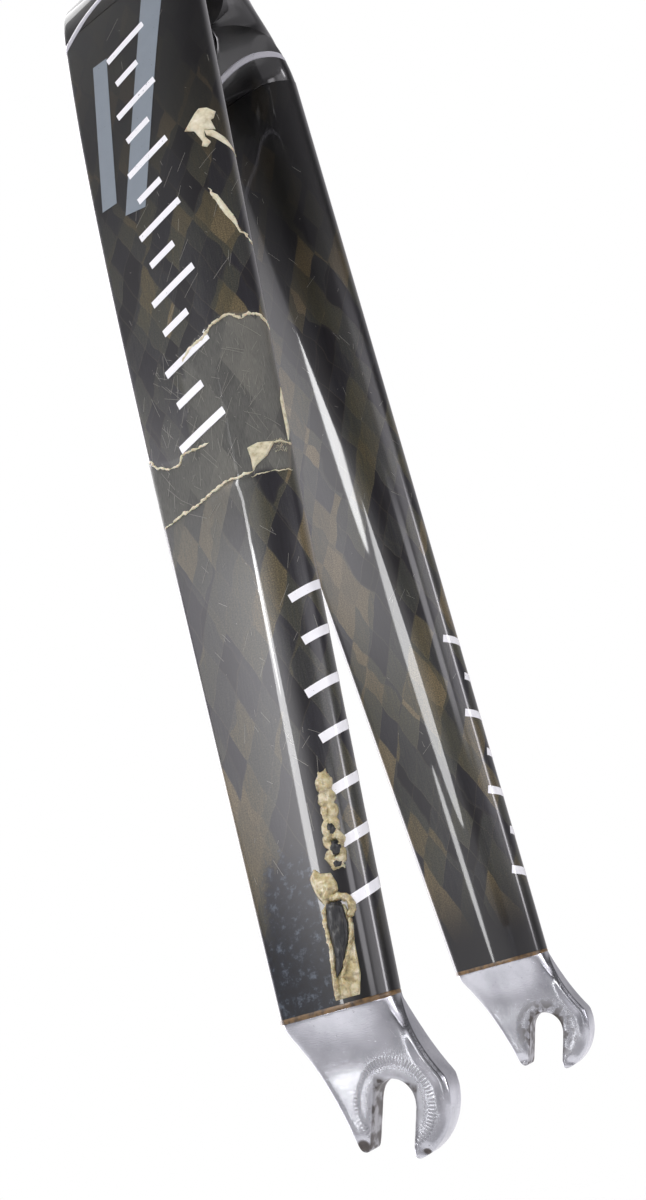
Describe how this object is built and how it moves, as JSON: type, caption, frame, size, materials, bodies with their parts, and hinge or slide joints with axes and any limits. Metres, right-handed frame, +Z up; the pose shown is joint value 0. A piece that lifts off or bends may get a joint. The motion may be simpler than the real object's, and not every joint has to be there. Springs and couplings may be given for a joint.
{
  "type": "rigid bicycle fork",
  "caption": "Rigid carbon bicycle fork with flat aero blades, bonded aluminium dropouts with downward slots, steering bearings, spacers and steerer expander.",
  "frame": {"origin": "centre of the crown-race seat, on the steering axis", "axes": "+Z up along the steering axis, +X forward in the direction of the rake, +Y to the rider's left"},
  "size_m": [0.0769, 0.118, 0.6095],
  "materials": {
    "carbon": "clear-coated carbon with faint brown diamond patches, worn and cracked on the right blade",
    "steerer_carbon": "satin woven carbon",
    "polished_aluminium": "polished, with a worn ring round the slot",
    "plain_aluminium": "turned",
    "adhesive": "cured resin",
    "black_alloy": "satin black anodised",
    "bearing_steel": "ground steel",
    "rubber": "matt"
  },
  "bodies": {
    "fork": {"steerer_tube": "steerer_carbon", "crown": "carbon", "blade_right": "carbon", "blade_left": "carbon", "dropout_right": "polished_aluminium", "dropout_left": "polished_aluminium", "bond_line_right": "adhesive", "bond_line_left": "adhesive", "crown_race": "bearing_steel", "lower_inner_ring": "bearing_steel", "upper_inner_ring": "bearing_steel", "compression_ring": "black_alloy", "bearing_cover": "black_alloy", "cover_seal": "rubber", "spacer_tall": "black_alloy", "spacer_middle": "black_alloy", "spacer_top": "black_alloy", "expander_body": "plain_aluminium", "expander_sleeve": "plain_aluminium", "top_cap": "black_alloy", "top_cap_bolt": "bearing_steel"},
    "lower_bearing_shell": {"lower_outer_ring": "bearing_steel", "lower_seal_bottom": "rubber", "lower_seal_top": "rubber"},
    "lower_balls": {"lower_ball_cage": "bearing_steel"},
    "upper_bearing_shell": {"upper_outer_ring": "bearing_steel", "upper_seal_bottom": "rubber", "upper_seal_top": "rubber"},
    "upper_balls": {"upper_ball_cage": "bearing_steel"},
    "expander_screw": {"expander_bolt": "bearing_steel"},
    "expander_cone": {"expander_wedge": "plain_aluminium"}
  },
  "joints": [
    {"name": "lower_bearing_turn", "type": "hinge", "parent": "fork", "child": "lower_bearing_shell", "pos_m": [0, 0, 0.007], "axis": [0, 0, 1], "continuous": true},
    {"name": "lower_balls_turn", "type": "hinge", "parent": "fork", "child": "lower_balls", "pos_m": [0, 0, 0.007], "axis": [0, 0, 1], "continuous": true},
    {"name": "upper_bearing_turn", "type": "hinge", "parent": "fork", "child": "upper_bearing_shell", "pos_m": [0, 0, 0.13], "axis": [0, 0, 1], "continuous": true},
    {"name": "upper_balls_turn", "type": "hinge", "parent": "fork", "child": "upper_balls", "pos_m": [0, 0, 0.13], "axis": [0, 0, 1], "continuous": true},
    {"name": "expander_bolt_turn", "type": "hinge", "parent": "fork", "child": "expander_screw", "pos_m": [0, 0, 0.205], "axis": [0, 0, 1], "range_deg": [0, 1080]},
    {"name": "expander_cone_slide", "type": "slide", "parent": "fork", "child": "expander_cone", "axis": [0, 0, -1], "range_m": [0, 0.003]}
  ],
  "couplings": [
    {"joint": "lower_balls_turn", "follows": "lower_bearing_turn", "ratio": 0.529},
    {"joint": "upper_balls_turn", "follows": "upper_bearing_turn", "ratio": 0.529},
    {"joint": "expander_cone_slide", "follows": "expander_bolt_turn", "m_per_rad": 0.00015915}
  ]
}
